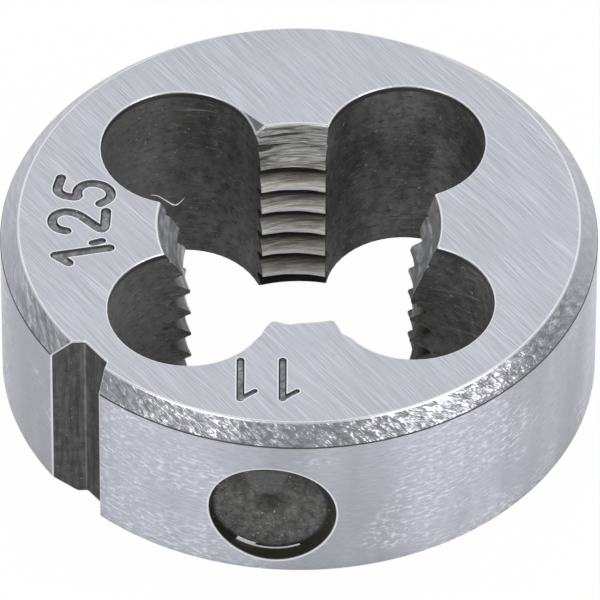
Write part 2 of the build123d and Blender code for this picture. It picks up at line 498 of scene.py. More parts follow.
def seat_rings():
    """Rings of the screw seat, from its rim in to the point of its cone, with their finishes."""
    out, side = np.append(polar(SEAT_AZ, 1.0), 0), np.append(polar(SEAT_AZ + 90, 1.0), 0)
    turn = np.linspace(0, 2 * math.pi, SEAT_COLS, endpoint=False)

    def ring(radius, share, from_rim=None, depth=None):
        across = radius * np.cos(turn) - SEAT_FOOT_SHIFT * share
        up = SEAT_Z + radius * np.sin(turn) - SEAT_FOOT_DROP * share
        if depth is None:
            reach = np.sqrt(OUTSIDE_R ** 2 - across ** 2) - from_rim
        else:
            reach = np.full_like(across, OUTSIDE_R - depth)
        return out * reach[:, None] + side * across[:, None] + np.outer(up, [0, 0, 1])

    rings = [ring(SEAT_R + SEAT_LIP, 0, 0.0), ring(SEAT_R + 0.012, 0, 0.015), ring(SEAT_R, 0, SEAT_LIP_DEPTH)]
    # the seat's rounded rim: a painted highlight ring
    finishes = [BRIGHT, BRIGHT]
    for step in range(1, SEAT_WALL_STEPS + 1):
        share = step / SEAT_WALL_STEPS
        radius = SEAT_R + (SEAT_FOOT_R - SEAT_R) * share
        upper, lower = ring(radius, share, SEAT_LIP_DEPTH), ring(radius, share, depth=SEAT_WALL_DEPTH)
        rings.append(upper * (1 - share) + lower * share)
        finishes.append(SEAT_WALL)
    for share in CONE_SHARES:
        depth = SEAT_WALL_DEPTH + SEAT_CONE_DEPTH * (1 - share)
        rings.append(ring(SEAT_FOOT_R * share, 1, depth=depth))
        finishes.append(SEAT)
    return rings, finishes, ring(0.0, 1, depth=SEAT_WALL_DEPTH + SEAT_CONE_DEPTH)[0]


def add_seat(skin, grid, row_top, row_low, col_first, col_last):
    """Closes the window left in the rim with a patch round the seat, and the seat itself."""
    border = np.concatenate([
        grid[row_top, col_first:col_last + 1], grid[row_top + 1:row_low + 1, col_last],
        grid[row_low, col_first:col_last][::-1], grid[row_top + 1:row_low, col_first][::-1]])
    rings, finishes, tip = seat_rings()
    unrolled = []
    for run in (border, rings[0]):
        az = np.degrees(np.arctan2(run[:, 1], run[:, 0])) % 360
        unrolled.append(np.column_stack([np.radians(az) * OUTSIDE_R, run[:, 2]]))
    azimuths = np.arange(SEAT_AZ - SEAT_PATCH_HALF + 1.5, SEAT_AZ + SEAT_PATCH_HALF - 0.7, PATCH_STEP_AZ)
    az, z = np.meshgrid(azimuths, np.arange(1.5, 8.0, PATCH_STEP_Z), indexing="ij")
    clear = np.hypot(OUTSIDE_R * np.sin(np.radians(az - SEAT_AZ)), z - SEAT_Z) > SEAT_R + 0.25
    flat = np.concatenate(unrolled + [np.column_stack([np.radians(az[clear]) * OUTSIDE_R, z[clear]])])
    loops = [list(range(len(border))), list(range(len(border), len(border) + SEAT_COLS))]
    found, faces = triangles(flat, loops)
    centres = found[faces].mean(1)
    keep = inside(centres, unrolled[0]) & ~inside(centres, unrolled[1])
    turn = np.degrees(found[:, 0] / OUTSIDE_R)
    solid = np.column_stack([polar(turn, OUTSIDE_R), found[:, 1]])
    for place, point in zip(flat, np.concatenate([border, rings[0]])):
        solid[np.argmin(np.hypot(*(found - place).T))] = point
    skin.add(solid, faces[keep], RIM)
    foot = finishes.index(SEAT)

    def pick(row, col):
        turn = 360 * col / SEAT_COLS
        # painted glint: a bright arc round the seat's foot, thicker at its start
        thin = row == foot and GLINT_FROM < turn < GLINT_TO
        thick = row == foot + 1 and GLINT_FROM < turn < GLINT_THIN
        return SEAT_GLINT if thin or thick else finishes[row]

    skin.grid(np.array(rings), pick)
    fan = [(col, (col + 1) % SEAT_COLS, SEAT_COLS) for col in range(SEAT_COLS)]
    skin.add(np.vstack([rings[-1], tip]), np.array(fan), SEAT)


# ---------------- the stamped size and pitch
FRONT_STROKE_R = 0.165
FRONT_FLAG_R = 0.12
LEFT_STROKE_R = 0.215
LEFT_POINT_R = 0.172
STROKE_LIP = 0.05
STROKE_DEPTH = 0.13
STROKE_DRAW_IN = 0.06
STROKE_STEP = 0.12
FRONT_FEET = ((-0.66, -8.16), (-2.40, -8.16))
STEM = [(0.50, 1.0), (0.50, 0.0)]
FLAG = [(0.20, 0.80), (0.50, 1.0)]
TWO = [(0.10, 0.72), (0.16, 0.90), (0.34, 1.0), (0.58, 1.0), (0.76, 0.88), (0.80, 0.70), (0.70, 0.50),
       (0.40, 0.26), (0.10, 0.0), (0.84, 0.0)]
FIVE = [(0.78, 1.0), (0.20, 1.0), (0.16, 0.56), (0.42, 0.64), (0.66, 0.58), (0.80, 0.40), (0.78, 0.18),
        (0.60, 0.02), (0.34, 0.0), (0.12, 0.14)]
POINT = [(0.5, 0.0), (0.42, 0.16)]


def placed(stroke, foot, up_az, height, width, half):
    """A digit's line on the marked face and its half width; foot is below its middle, up_az its top's way."""
    up, right = polar(up_az, 1.0), polar(up_az - 90, 1.0)
    return np.array([foot + up * y * height + right * (x - 0.5) * width for x, y in stroke]), half


def stamped_lines():
    """Lines of the size at the front and of the pitch at the left, tops outwards, with their half widths."""
    lines = []
    for foot in FRONT_FEET:
        lines.append(placed(STEM, foot, 270.0, 2.22, 1.9, FRONT_STROKE_R))
        lines.append(placed(FLAG, foot, 270.0, 2.22, 2.0, FRONT_FLAG_R))
    for shape in (STEM, FLAG):
        lines.append(placed(shape, polar(191.2, 8.05), 191.2, 2.3, 1.8, LEFT_STROKE_R))
    lines.append(placed(POINT, polar(187.9, 8.3), 188.0, 2.5, 1.0, LEFT_POINT_R))
    lines.append(placed(TWO, polar(179.7, 8.09), 178.0, 2.22, 1.66, LEFT_STROKE_R))
    lines.append(placed(FIVE, polar(168.4, 8.02), 166.5, 2.3, 1.66, LEFT_STROKE_R))
    return lines


def finely(line):
    """The same line with points a short step apart, its bends eased."""
    for _ in range(2):
        cut = [line[0]]
        for a, b in zip(line, line[1:]):
            cut += [a * 0.75 + b * 0.25, a * 0.25 + b * 0.75]
        line = np.array(cut + [line[-1]])
    points = []
    for a, b in zip(line, line[1:]):
        count = max(1, int(math.hypot(*(b - a)) / STROKE_STEP))
        points += [a + (b - a) * k / count for k in range(count)]
    return np.array(points + [line[-1]])


def line_distance(points, lines):
    """How far each point is outside the nearest stroke, the nearest place on its line and its half width."""
    best, nearest = np.full(len(points), 1e9), np.zeros((len(points), 2))
    width = np.ones(len(points))
    for line, radius in lines:
        for a, b in zip(line, line[1:]):
            along = np.clip(((points - a) @ (b - a)) / max((b - a) @ (b - a), 1e-12), 0, 1)
            foot = a + along[:, None] * (b - a)
            away = np.hypot(*(points - foot).T) - radius
            closer = away < best
            best[closer], nearest[closer], width[closer] = away[closer], foot[closer], radius
    return best, nearest, width


def capsule(a, b, radius):
    """Closed outline round a straight stroke."""
    turn = math.degrees(math.atan2(*(b - a)[::-1]))
    ends = [a + polar(turn + k, radius) for k in range(90, 271, 20)]
    ends += [b + polar(turn + k, radius) for k in range(-90, 91, 20)]
    return ends


def face_points(outer, inner, lines):
    """Plan points and closed loops of a flat face with stamped lines on it."""
    points = list(outer) + list(inner)
    loops = [list(range(len(outer))), list(range(len(outer), len(points)))]
    for line, half in lines:
        for a, b in zip(line, line[1:]):
            for radius in (half, half + STROKE_LIP):
                outline = capsule(a, b, radius)
                loops.append(list(range(len(points), len(points) + len(outline))))
                points += outline
    return points, loops


def knock_line(inner):
    """Plan points where the flat of the knocked corner meets the marked face."""
    origin, normal = knock_plane()
    level = (THICKNESS - origin[2]) * normal[2]
    way = np.array([-normal[1], normal[0]]) / math.hypot(*normal[:2])
    base = origin[:2] - normal[:2] * level / (normal[:2] @ normal[:2])
    run = base + np.outer(np.arange(-KNOCK_REACH, KNOCK_REACH, 0.03), way)
    metal = run[~inside(run, inner)]
    return metal[np.hypot(*(metal - origin[:2]).T) < KNOCK_REACH]


def fill_face(outer, inner, height, lines=(), extra=()):
    """Triangles between two closed rows: plan points, faces, their middles and the points in space."""
    points, loops = face_points(outer[:, :2], inner[:, :2], lines)
    flat, faces = triangles(points + list(extra), loops)
    centres = flat[faces].mean(1)
    keep = inside(centres, outer[:, :2]) & ~inside(centres, inner[:, :2])
    solid = knock_down(at_height(flat, height))
    for point in np.concatenate([outer, inner]):
        solid[np.argmin(np.hypot(*(flat - point[:2]).T))] = point
    return flat, faces[keep], centres[keep], solid


def add_marked_face(skin, outer, inner):
    """The ground face, with its stamped digits sunk into it and its knocked corner."""
    lines = [(line if len(line) < 4 else finely(line), half) for line, half in stamped_lines()]
    flat, faces, centres, solid = fill_face(outer, inner, THICKNESS, lines, knock_line(inner[:, :2]))
    away, _, _ = line_distance(centres, lines)
    sunk = away < -0.002
    origin, normal = knock_plane()
    knocked = (at_height(centres, THICKNESS) - origin) @ normal > 0
    knocked &= np.hypot(*(centres - origin[:2]).T) < KNOCK_REACH
    # a ring round each stroke: the stamping's burr, painted bright as a highlight
    burr_highlight = ~sunk & (away < STROKE_LIP)
    first = skin.add_points(solid)
    for group, finish in ((~sunk & ~knocked & ~burr_highlight, GROUND), (~sunk & knocked, TORN), (burr_highlight, BRIGHT)):
        skin.add_faces((faces[group] + first).tolist(), finish)
    away, foot, half = line_distance(flat, lines)
    reach = np.maximum(away + half, 1e-9)
    pull = (np.minimum(STROKE_DRAW_IN, reach) * ramp(away, -0.05, 0) / reach)[:, None] * (foot - flat)
    floor = np.column_stack([flat + pull, THICKNESS - STROKE_DEPTH * (1 - 0.25 * (reach / half) ** 2)])
    floor_first = skin.add_points(floor)
    skin.add_faces((faces[sunk] + floor_first).tolist(), STAMP)
    edges = {}
    for face in faces[sunk].tolist():
        for a, b in zip(face, face[1:] + face[:1]):
            edges.setdefault(frozenset((a, b)), []).append((a, b))
    walls = [run[0] for run in edges.values() if len(run) == 1]
    skin.add_faces([(first + a, first + b, floor_first + b, floor_first + a) for a, b in walls], STAMP_WALL)


def add_plain_face(skin, outer, inner):
    """The flat underside."""
    _, faces, _, solid = fill_face(outer, inner, 0.0)
    skin.add(solid, faces, PLAIN)


def die_mesh():
    """The finished skin of the die."""
    skin = Skin()
    inner, finishes = inner_grid()
    inner = wear_front_land(knock_down(inner))
    skin.grid(inner, inner_finish(finishes, len(inner)))
    rows = outer_rows()
    outer = np.array([outer_row(*row) for row in rows])
    x, y = outer[len(TOP_DROPS), :, :2].T
    azimuths = np.degrees(np.arctan2(y, x)) % 360
    window = [c for c in range(RIM_COLS) if abs(azimuths[c] - SEAT_AZ) < SEAT_PATCH_HALF]
    row_top = next(i for i, row in enumerate(rows) if row[1] < THICKNESS - MARKED_CHAMFER)
    row_low = next(i for i, row in enumerate(rows) if row[1] < SEAT_PATCH_FOOT)

    def in_window(row, col):
        return row_top <= row < row_low and window[0] <= col < window[-1]

    skin.grid(outer, outer_finish(rows), skip=in_window)
    add_seat(skin, outer, row_top, row_low, window[0], window[-1])
    add_marked_face(skin, outer[0], inner[0])
    add_plain_face(skin, outer[-1], inner[-1])
    return skin.mesh("die_body_skin")


# ---------------- node helpers
def feed(socket, value):
    """Gives a socket a number, a colour, or a link from a field, a socket or a node's first output."""
    if isinstance(value, Field):
        value = value.socket
    if isinstance(value, bpy.types.Node):
        value = value.outputs[0]
    if isinstance(value, bpy.types.NodeSocket):
        socket.id_data.links.new(value, socket)
    elif socket.type == "RGBA":
        socket.default_value = (*value, 1)
    else:
        socket.default_value = value


def put(tree, kind, *feeds, **settings):
    """A node: its properties and sockets by name, and its first sockets in order."""
    made = tree.nodes.new(kind)
    for name, value in settings.items():
        if hasattr(made, name):
            setattr(made, name, value)
        else:
            feed(made.inputs[name.replace("_", " ")], value)
    for socket, value in zip(made.inputs, feeds):
        feed(socket, value)
    return made


class Field:
    """What a node puts out. Plain arithmetic on it makes the next node."""

    def __init__(self, socket):
        self.socket, self.tree = socket, socket.id_data

    def by(self, operation, *others):
        return Field(put(self.tree, "ShaderNodeMath", self, *others, operation=operation).outputs[0])

    def vector(self, operation, *others, **numbers):
        return put(self.tree, "ShaderNodeVectorMath", self, *others, operation=operation, **numbers)

    __add__ = partialmethod(by, "ADD")
    __sub__ = partialmethod(by, "SUBTRACT")
    __mul__ = partialmethod(by, "MULTIPLY")
    __truediv__ = partialmethod(by, "DIVIDE")
    __abs__ = partialmethod(by, "ABSOLUTE")
    most = partialmethod(by, "MAXIMUM")
    least = partialmethod(by, "MINIMUM")

    def __rsub__(self, other):
        return self * -1.0 + other

    def parts(self):
        """A vector's three parts."""
        return [Field(part) for part in put(self.tree, "ShaderNodeSeparateXYZ", self).outputs]

    def along(self, way):
        """How far a vector reaches in a direction."""
        return Field(self.vector("DOT_PRODUCT", way).outputs["Value"])

    def spread(self, low, high, to_low=0.0, to_high=1.0):
        """The value mapped from one range to another, held at the ends."""
        return Field(put(self.tree, "ShaderNodeMapRange", self, low, high, to_low, to_high).outputs["Result"])

    def fall(self, low, high, start=1.0):
        """A share that falls from its start to nothing over a range."""
        return self.spread(low, high, start, 0.0)

    def noise(self, scale=1.0, detail=3.0, roughness=0.55, distortion=0.0):
        """Noise over this place, at one scale or at one for each axis."""
        place = self
        if isinstance(scale, tuple):
            place, scale = self.vector("MULTIPLY", scale), 1.0
        made = put(self.tree, "ShaderNodeTexNoise", Vector=place, Scale=scale, Detail=detail,
                   Roughness=roughness, Distortion=distortion)
        return Field(made.outputs["Fac"])

    def blend(self, first, second):
        """Two colours mixed by this share."""
        made = put(self.tree, "ShaderNodeMix", self, data_type="RGBA")
        feed(made.inputs[6], first)
        feed(made.inputs[7], second)
        return Field(made.outputs[2])


def outputs_of(node):
    """A node's outputs by name, as fields."""
    return {socket.name: Field(socket) for socket in node.outputs}


def new_group(name, numbers, outputs):
    """A node group over a position: its tree, what it is given and the sockets of its results."""
    group = bpy.data.node_groups.new(name, "ShaderNodeTree")
    group.interface.new_socket("Position", in_out="INPUT", socket_type="NodeSocketVector")
    for title, value in numbers.items():
        socket = group.interface.new_socket(title, in_out="INPUT", socket_type="NodeSocketFloat")
        socket.default_value = value
    for title, kind in outputs.items():
        group.interface.new_socket(title, in_out="OUTPUT", socket_type="NodeSocket" + kind)
    return group, outputs_of(put(group, "NodeGroupInput")), put(group, "NodeGroupOutput").inputs


def scratch_group():
    """Fine parallel scratches across a flat face, at an angle in the plan."""
    group, given, result = new_group(
        "grinding_scratches", {"Angle": 0.0, "Length": 4.0, "Width": 0.08, "Seed": 0.0},
        {"Height": "Float", "Line": "Float"})
    turned = put(group, "ShaderNodeVectorRotate", rotation_type="Z_AXIS",
                 Vector=given["Position"], Angle=given["Angle"])
    x, y, _ = Field(turned.outputs[0]).parts()
    drawn = put(group, "ShaderNodeCombineXYZ", x / given["Length"], y / given["Width"], given["Seed"])
    grain = Field(drawn.outputs[0]).noise(roughness=0.6)
    feed(result["Height"], grain)
    feed(result["Line"], grain.spread(0.64, 0.70))


def round_group():
    """Position unrolled round the die's axis into arc length and height, and its radius."""
    group, given, result = new_group(
        "round_the_axis", {}, {"Unrolled": "Vector", "Radius": "Float"})
    x, y, z = given["Position"].parts()
    radius = (x * x + y * y).by("SQRT")
    feed(result["Unrolled"], put(group, "ShaderNodeCombineXYZ", y.by("ARCTAN2", x) * radius, z))
    feed(result["Radius"], radius)


def speckle_group():
    """Small bright or dark flecks, with a soft unevenness under them."""
    group, given, result = new_group(
        "flecks", {"Size": 0.3, "Cover": 0.1}, {"Fleck": "Float", "Cloud": "Float"})
    size = put(group, "ShaderNodeCombineXYZ", *[given["Size"]] * 3)
    scaled = Field(given["Position"].vector("DIVIDE", size).outputs[0])
    level = 0.75 - given["Cover"] * 0.5
    fleck = (scaled.noise(detail=2.0) - level) * 14.0
    fleck.socket.node.use_clamp = True
    feed(result["Fleck"], fleck)
    feed(result["Cloud"], scaled.noise(0.22, roughness=0.5))


class Finish:
    """A material under construction: its place in millimetres and its colour so far."""

    def __init__(self, name, metallic=1.0, base=(0.6, 0.6, 0.6), roughness=0.4):
        self.material = bpy.data.materials.new(name)
        self.material.use_nodes = True
        self.tree = self.material.node_tree
        self.shader = self.tree.nodes["Principled BSDF"].inputs
        self.colour = base
        for name, value in (("Metallic", metallic), ("Base Color", base), ("Roughness", roughness)):
            feed(self.shader[name], value)
        metres = Field(put(self.tree, "ShaderNodeTexCoord").outputs["Object"])
        self.place = Field(metres.vector("SCALE", Scale=1 / MM).outputs[0])

    def group(self, name, **numbers):
        """The results of a node group over the material's place."""
        tree = bpy.data.node_groups[name]
        return outputs_of(put(self.tree, "ShaderNodeGroup", node_tree=tree, Position=self.place, **numbers))

    def over(self, share, colour):
        """Lays a colour over the ones so far."""
        self.colour = share.blend(self.colour, colour)

    def done(self, height, depth, roughness=None):
        """The material with its colour, and a relief so many millimetres deep."""
        feed(self.shader["Base Color"], self.colour)
        relief = put(self.tree, "ShaderNodeBump", Strength=1.0, Distance=depth * MM, Height=height)
        feed(self.shader["Normal"], relief)
        if roughness is not None:
            feed(self.shader["Roughness"], roughness)
        return self.material


# ---------------- the finishes
def grey(value, cool=0.0):
    """A grey with a cool violet cast."""
    return (value * (1 - 0.2 * cool), value, value * (1 + cool))


def ground_steel(name, angles, base):
    """Ground face: close fine scratches in one main direction and longer ones across them."""
    made = Finish(name, base=grey(base, 0.09), roughness=0.34)
    fine = made.group("grinding_scratches", Angle=angles[0], Length=3.0, Width=0.034)
    long = made.group("grinding_scratches", Angle=angles[1], Length=6.0, Width=0.052, Seed=3.0)
    cloud = made.group("flecks", Size=1.6, Cover=0.0)["Cloud"]
    height = fine["Height"] * 0.62 + long["Height"] * 0.38
    line = (fine["Line"] * 0.35).most(long["Line"])
    made.colour = height.spread(0.36, 0.64).blend(grey(base * 0.70, 0.1), grey(base * 1.26, 0.11))
    made.over(line * 0.8, grey(base * 1.65, 0.06))
    made.over(cloud.spread(0.35, 0.65, 0.0, 0.2), grey(base * 0.8, 0.06))
    return made.done(height, 0.008, height.spread(0.3, 0.7, 0.3, 0.42))


def blasted_chamfer():
    """Chamfer of the marked face: grey and grainy in front, smooth behind."""
    made = Finish("blasted_chamfer", base=grey(0.32, 0.1), roughness=0.3)
    around = made.group("round_the_axis")["Unrolled"]
    grain = around.noise((2.2, 3.6, 1.0), 2.0, 0.5)
    cloud = around.noise((0.5, 0.9, 1.0))
    y = made.place.parts()[1]
    made.colour = cloud.spread(0.3, 0.7).blend(grey(0.24, 0.08), grey(0.38, 0.1))
    made.over(grain.spread(0.42, 0.66), grey(0.62, 0.08))
    made.over(y.spread(*SMOOTH_CHAMFER_Y, 0.0, 0.8), grey(0.58, 0.1))
    return made.done(grain * y.spread(*SMOOTH_CHAMFER_Y, 1.0, 0.15), 0.16, grain.spread(0.3, 0.7, 0.4, 0.2))


def turned_rim(name, base):
    """Rim: fine lines round it from turning, painted reflections in soft upright bands, and patches of short
    marks painted bright as highlights.
    """
    made = Finish(name, base=grey(base, 0.11), roughness=0.38)
    around = made.group("round_the_axis")["Unrolled"]
    line = around.noise((1.9, 10.0, 1.0), 4.0, 0.65)
    marks = around.noise((2.6, 6.0, 1.0), 3.0, 0.65)
    # painted reflection: the rim lighter and darker in soft upright bands, one brightest at a set azimuth
    turn = around.parts()[0] * (RIM_HIGHLIGHT_BANDS / OUTSIDE_R) + math.radians(90 - RIM_HIGHLIGHT_BANDS * RIM_HIGHLIGHT_AZ)
    highlight_wave = turn.by("SINE")
    highlight_band = highlight_wave * 0.17 + around.noise((0.34, 0.05, 1.0), 2.0)
    patch = highlight_wave * 0.11 + around.noise((0.22, 0.3, 1.0), 2.0)
    made.colour = highlight_band.spread(0.33, 0.67).blend(grey(base * 0.84, 0.1), grey(base * 1.16, 0.12))
    made.over(line.spread(0.3, 0.7, 0.0, 0.5), grey(base * 0.62, 0.08))
    # short tool marks, painted near white as highlights where the bright bands fall
    made.over(marks.spread(0.50, 0.64) * patch.spread(0.46, 0.60) * 0.7, grey(0.95, 0.08))
    return made.done(line + marks * 0.5, 0.018, line.spread(0.3, 0.7, 0.32, 0.46))


def scaled_hole():
    """Chip holes: dark hardening scale with short dashes from the drill and a few bare scratches."""
    made = Finish("scaled_hole", metallic=0.4, base=(0.05, 0.05, 0.047), roughness=0.45)
    dash = made.place.noise((2.4, 2.4, 7.5), 5.0, 0.68, 0.5)
    cloud = made.place.noise((0.4, 0.4, 0.22))
    blotch = made.place.noise(2.2, 5.0, 0.7)
    tilted = put(made.tree, "ShaderNodeVectorRotate", rotation_type="X_AXIS",
                 Vector=made.place, Angle=math.radians(SCRATCH_TILT))
    x, y, _ = made.place.parts()
    front_right = x.spread(2.0, 3.0) * y.fall(-2.6, -1.6)
    scratch = front_right * 0.09 + Field(tilted.outputs[0]).noise((0.35, 0.35, 9.0), 1.0)
    made.colour = cloud.spread(0.36, 0.66).blend((0.100, 0.100, 0.097), (0.250, 0.250, 0.247))
    made.over(blotch.spread(0.42, 0.66, 0.0, 0.6), (0.040, 0.039, 0.035))
    made.over(x.fall(-7.6, -4.2, 0.5), (0.27, 0.27, 0.265))
    made.over(dash.spread(0.57, 0.68, 0.0, 0.6), (0.34, 0.34, 0.34))
    made.over(dash.fall(0.34, 0.43, 0.7), (0.02, 0.02, 0.018))
    made.over(scratch.spread(0.72, 0.78, 0.0, 0.5), grey(0.42, 0.06))
    made.over(made.group("flecks", Size=0.18, Cover=0.16)["Fleck"], grey(0.45))
    return made.done(dash + blotch * 0.5, 0.05, blotch.spread(0.3, 0.7, 0.38, 0.6))


def scaled_notch():
    """Notch: dark grey with streaks along its length, rubbed along the left corner of its floor."""
    made = Finish("scaled_notch", metallic=0.5, base=(0.07, 0.07, 0.068), roughness=0.45)
    streak = made.place.noise((4.5, 4.5, 0.4), 3.0, 0.6)
    blotch = made.place.noise(2.4, 4.0, 0.6)
    sideways = polar(NOTCH_AZ - NOTCH_LEAN + 90, 1.0)
    middle = float(polar(NOTCH_AZ, OUTSIDE_R - NOTCH_DEPTH) @ sideways)
    from_middle = made.place.along((*sideways, 0.0)) - middle
    from_corner = abs(from_middle + NOTCH_FLOOR_HALF)
    made.colour = streak.spread(0.36, 0.66).blend((0.070, 0.070, 0.069), (0.155, 0.155, 0.155))
    made.over(blotch.spread(0.4, 0.7, 0.0, 0.6), (0.045, 0.045, 0.043))
    made.over(from_middle.spread(-NOTCH_FLOOR_HALF, -0.5 * NOTCH_FLOOR_HALF, 0.0, 0.5), (0.035, 0.035, 0.034))
    made.over((from_corner + blotch * 0.06).fall(0.03, 0.09, 0.65), grey(0.30))
    made.over(made.group("flecks", Size=0.16, Cover=0.16)["Fleck"], grey(0.30))
    return made.done(streak + blotch * 0.6, 0.05, blotch.spread(0.3, 0.7, 0.38, 0.6))


def scaled_seat():
    """Cone of the screw seat: blotched brown and violet grey, with painted shade at its top, its point and
    its rim, and a few white specks.
    """
    made = Finish("scaled_seat", metallic=0.5, base=(0.08, 0.08, 0.078), roughness=0.42)
    grain = made.place.noise(3.4, 4.0, 0.68, 0.4)
    cloud = made.place.noise(0.55, 2.0)
    side = made.place.along((*polar(SEAT_AZ + 90, 1.0), 0.0)) + SEAT_FOOT_SHIFT
    up = made.place.parts()[2] - (SEAT_Z - SEAT_FOOT_DROP)
    far = (side * side + up * up).by("SQRT")
    wide = up * -0.3 + abs(side + 0.2)
    sector = wide.fall(0.3, 0.45) * up.spread(0.25, 0.5) * up.fall(1.8, 2.1)
    # painted shade: the upper part of the cone, its point and its rim darker
    shade = (up.spread(0.5, 1.7) * 0.75).most(far.fall(0.2, 0.9, 0.75)).most(far.spread(2.25, 2.4))
    violet = cloud.blend((0.135, 0.132, 0.112), (0.175, 0.175, 0.195))
    made.colour = grain.spread(0.36, 0.64).blend((0.060, 0.060, 0.050), violet)
    made.over(shade, (0.016, 0.016, 0.013))
    made.over(sector * 0.8, (0.130, 0.132, 0.134))
    made.over(made.group("flecks", Size=0.13, Cover=0.14)["Fleck"], grey(0.6))
    return made.done(grain, 0.07, grain.spread(0.3, 0.7, 0.5, 0.34))


def cut_thread():
    """Teeth: bright worn crests, brown-grey flanks and roots painted nearly black with shade and dirt, the
    foot of the bore darker too; torn grey metal above.
    """
    made = Finish("cut_thread", metallic=0.65, base=grey(0.4), roughness=0.4)
    near = made.group("round_the_axis")
    around, radius = near["Unrolled"], near["Radius"]
    streak = around.noise((0.5, 10.0, 1.0), 4.0, 0.6, 0.2)
    ridge = around.noise((0.34, 7.0, 1.0), 2.0, 0.5, 0.3)
    hair = around.noise((0.9, 16.0, 1.0), 4.0, 0.7, 0.4)
    mottle = made.place.noise((1.6, 1.6, 3.0), 5.0, 0.65)
    x, y, z = made.place.parts()
    whole = x.fall(3.2, 4.0).most(z.fall(5.2, 5.8))
    low = z.fall(7.0, 7.6).least(whole)
    left = x.fall(-4.4, -3.2)
    right = x.spread(3.2, 4.4) * z.fall(4.4, 5.8)
    # painted shade with dirt: the roots of the full teeth nearly black, less so on the left land, and the
    # foot of the bore darker
    shade_and_dirt = radius.spread(5.02, 5.46) * low * (1.0 - left * 0.3)
    shade_and_dirt = shade_and_dirt.most(z.fall(0.60, 0.90))
    crest = (hair.spread(0.3, 0.7) * 0.12 + radius).fall(4.90, 4.97) * low
    rough = hair.spread(0.36, 0.64).blend((0.15, 0.15, 0.145), (0.60, 0.60, 0.585))
    ridged = ridge.spread(0.58, 0.62, 0.0, 0.85).blend(rough, grey(0.035))
    smooth = mottle.spread(0.34, 0.66).blend(grey(0.20, 0.04), grey(0.50, 0.06))
    torn = y.spread(2.6, 3.8).blend(smooth, ridged)
    flank = hair.spread(0.34, 0.66).blend((0.32, 0.305, 0.26), (0.84, 0.82, 0.745))
    made.colour = low.blend(torn, left.blend(flank, grey(0.42, 0.04)))
    made.over(shade_and_dirt, (0.040, 0.037, 0.028))
    made.over(crest * 0.9, grey(0.95, 0.06))
    made.over(right * 0.75, (0.06, 0.06, 0.056))
    return made.done(streak + hair + mottle - ridge, 0.06, shade_and_dirt.spread(0.0, 1.0, 0.44, 0.55))


def two_tone(name, base, dim, light, metallic=1.0, roughness=0.4, spots=None, cloud=None, relief=(6.0, 2.0),
             depth=0.01):
    """A small dull or bright surface: two tones mixed by flecks' cloud or by a noise of its own."""
    made = Finish(name, metallic=metallic, base=base, roughness=roughness)
    share = made.place.noise(*cloud) if cloud else made.group("flecks", Size=spots, Cover=0.0)["Cloud"]
    made.colour = share.blend(dim, light)
    return made.done(made.place.noise(*relief), depth)


def bright_edge(name, base, metallic=1.0):
    """Bright edges: rubbed metal with a painted highlight, and the painted glint in the screw seat."""
    return two_tone(name, grey(base), grey(base * 0.84, 0.04), grey(base * 1.1, 0.04), metallic=metallic,
                    roughness=0.3, spots=0.6)


def shade_line():
    """Painted shade: a dark line along corners and edges, under the holes' top edge and at the foot of the
    bore.
    """
    return two_tone("shade_line", grey(0.05), grey(0.035), grey(0.12), metallic=0.5, roughness=0.5, spots=0.5)


def torn_corner():
    """Flat left by the knocked corner."""
    return two_tone("torn_corner", grey(0.4), grey(0.18, 0.06), grey(0.36, 0.08), cloud=(3.0,), relief=(5.0,),
                    depth=0.03)


def seat_wall():
    """Wall of the screw seat: nearly black, with an olive cast."""
    return two_tone("seat_wall", (0.022, 0.021, 0.014), (0.014, 0.013, 0.009), (0.050, 0.047, 0.028),
                    metallic=0.4, roughness=0.5, cloud=(0.8, 2.0), relief=(4.0,), depth=0.03)


def stamped_floor():
    """Floors of the stamped digits: dull and dark with a few sparkles."""
    made = Finish("stamped_floor", metallic=0.8, base=grey(0.12), roughness=0.5)
    made.colour = made.place.noise(3.4).spread(0.35, 0.65).blend(grey(0.15, 0.04), grey(0.34, 0.06))
    made.over(made.group("flecks", Size=0.14, Cover=0.2)["Fleck"], grey(0.6))
    return made.done(made.place.noise(7.0), 0.04)


def stamped_wall():
    """Steep sides of the stamped digits: dark, with a glint here and there."""
    made = Finish("stamped_wall", metallic=0.8, base=grey(0.1), roughness=0.45)
    wall_flecks = made.group("flecks", Size=0.22, Cover=0.12)
    made.colour = wall_flecks["Cloud"].blend(grey(0.05), grey(0.13, 0.04))
    # painted glints: bright flecks on the dark walls
    made.over(wall_flecks["Fleck"], grey(0.9))
    return made.done(made.place.noise(7.0, 2.0), 0.02)


def finishes():
    """All materials, in the order of the finish numbers."""
    for group in (scratch_group, round_group, speckle_group):
        group()
    angles = [math.radians(angle) for angle in SCRATCH_ANGLES]
    return [
        ground_steel("ground_face", angles, 0.565),
        blasted_chamfer(),
        turned_rim("turned_rim", 0.575),
        scaled_hole(),
        cut_thread(),
        bright_edge("bright_edge", 0.85),
        scaled_notch(),
        scaled_seat(),
        stamped_floor(),
        ground_steel("plain_face", angles[::-1], 0.54),
        torn_corner(),
        seat_wall(),
        bright_edge("seat_glint", 0.9, metallic=0.2),
        shade_line(),
        turned_rim("turned_foot", 0.575),
        stamped_wall(),
    ]


# ---------------- stage, light and camera
def place_object(name, data):
    """A new object of the scene."""
    made = bpy.data.objects.new(name, data)
    bpy.context.collection.objects.link(made)
    return made


